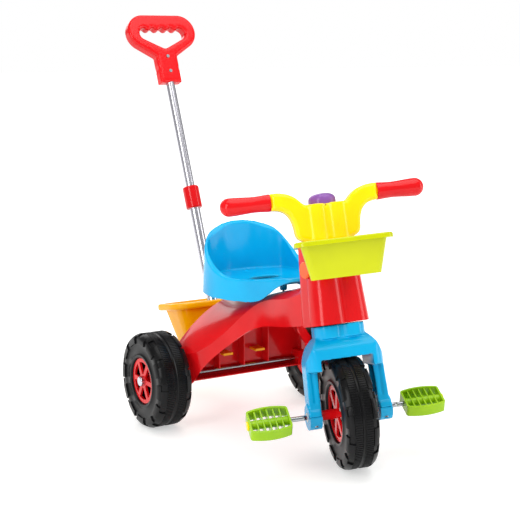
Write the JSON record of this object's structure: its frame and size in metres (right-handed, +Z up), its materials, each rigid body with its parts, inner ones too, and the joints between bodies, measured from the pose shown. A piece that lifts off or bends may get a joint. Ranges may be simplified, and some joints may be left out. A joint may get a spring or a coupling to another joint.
{
  "type": "children's tricycle",
  "caption": "Children's pedal tricycle with moulded body, scooped seat, steered front wheel with pedals, front basket, rear bucket and telescopic push handle.",
  "frame": {"origin": "on the floor below the middle of the overall box, push handle included", "axes": "-Y is the way the tricycle faces, +X is the rider's left, +Z is up; the front wheel stands steered 19 degrees to the rider's right"},
  "size_m": [0.512, 0.9785, 0.9067],
  "materials": {
    "red_plastic": "glossy moulded plastic",
    "blue_plastic": "glossy moulded plastic",
    "yellow_plastic": "glossy moulded plastic",
    "amber_plastic": "glossy moulded plastic",
    "lime_plastic": "glossy moulded plastic",
    "green_plastic": "glossy moulded plastic",
    "purple_plastic": "glossy moulded plastic",
    "orange_plastic": "glossy moulded plastic",
    "tyre_plastic": "satin black moulded tyre",
    "white_plastic": "satin bearing plastic",
    "chromed_steel": "bright chrome plate",
    "zinc_steel": "bright zinc plate"
  },
  "bodies": {
    "frame": {"body": "red_plastic", "steering_bush_lower": "white_plastic", "steering_bush_upper": "white_plastic", "side_cap_left": "orange_plastic", "side_cap_right": "orange_plastic", "seat": "blue_plastic", "seat_screws": "zinc_steel", "rear_bucket": "amber_plastic", "rear_axle": "zinc_steel", "axle_spacer_left": "white_plastic", "axle_spacer_right": "white_plastic", "axle_cap_left": "chromed_steel", "axle_cap_right": "chromed_steel", "lower_tube": "chromed_steel", "joint_sleeve": "red_plastic"},
    "push_handle": {"upper_tube": "chromed_steel", "dgrip_front": "red_plastic", "dgrip_back": "red_plastic", "dgrip_screws": "zinc_steel"},
    "rear_wheel_left": {"rear_tyre_left": "tyre_plastic", "rear_hub_left": "red_plastic", "rear_hub_back_left": "red_plastic"},
    "rear_wheel_right": {"rear_tyre_right": "tyre_plastic", "rear_hub_right": "red_plastic", "rear_hub_back_right": "red_plastic"},
    "front_fork": {"fork": "blue_plastic", "foot_clamp_left": "blue_plastic", "foot_clamp_right": "blue_plastic", "clamp_screws_left": "zinc_steel", "clamp_screws_right": "zinc_steel", "crank_bush_left": "white_plastic", "crank_bush_right": "white_plastic", "steering_rod": "zinc_steel", "stem_bolt": "zinc_steel", "stem_nut": "zinc_steel", "handlebar": "yellow_plastic", "grip_left": "red_plastic", "grip_right": "red_plastic", "horn_spring": "zinc_steel", "basket_hook": "yellow_plastic", "front_basket": "lime_plastic"},
    "horn": {"horn_button": "purple_plastic"},
    "front_wheel": {"front_tyre": "tyre_plastic", "front_hub_left": "red_plastic", "front_hub_right": "red_plastic", "front_hub_core": "white_plastic", "crank": "zinc_steel"},
    "pedal_left": {"pedal_left": "green_plastic", "pedal_plug_left": "yellow_plastic"},
    "pedal_right": {"pedal_right": "green_plastic", "pedal_plug_right": "yellow_plastic"}
  },
  "joints": [
    {"name": "steering", "type": "hinge", "parent": "frame", "child": "front_fork", "pos_m": [0, -0.3773, 0.1145], "axis": [0, 0.2521, 0.9677], "range_deg": [-26, 64]},
    {"name": "front_wheel_spin", "type": "hinge", "parent": "front_fork", "child": "front_wheel", "pos_m": [0, -0.3773, 0.1145], "axis": [0.9455, -0.3151, 0.0821], "continuous": true},
    {"name": "pedal_left_spin", "type": "hinge", "parent": "front_wheel", "child": "pedal_left", "pos_m": [0.18396, -0.37892, 0.10898], "axis": [0.9455, -0.3151, 0.0821], "continuous": true},
    {"name": "pedal_right_spin", "type": "hinge", "parent": "front_wheel", "child": "pedal_right", "pos_m": [-0.18396, -0.37568, 0.12002], "axis": [0.9455, -0.3151, 0.0821], "continuous": true},
    {"name": "rear_wheel_left_spin", "type": "hinge", "parent": "frame", "child": "rear_wheel_left", "pos_m": [0.219, 0.0627, 0.105], "axis": [1, 0, 0], "continuous": true},
    {"name": "rear_wheel_right_spin", "type": "hinge", "parent": "frame", "child": "rear_wheel_right", "pos_m": [-0.219, 0.0627, 0.105], "axis": [1, 0, 0], "continuous": true},
    {"name": "push_handle_slide", "type": "slide", "parent": "frame", "child": "push_handle", "axis": [0, 0.3875, 0.9219], "range_m": [-0.2, 0]},
    {"name": "horn_press", "type": "slide", "parent": "front_fork", "child": "horn", "axis": [0, -0.2521, -0.9677], "range_m": [0, 0.004], "stiffness_N_per_m": 300}
  ]
}
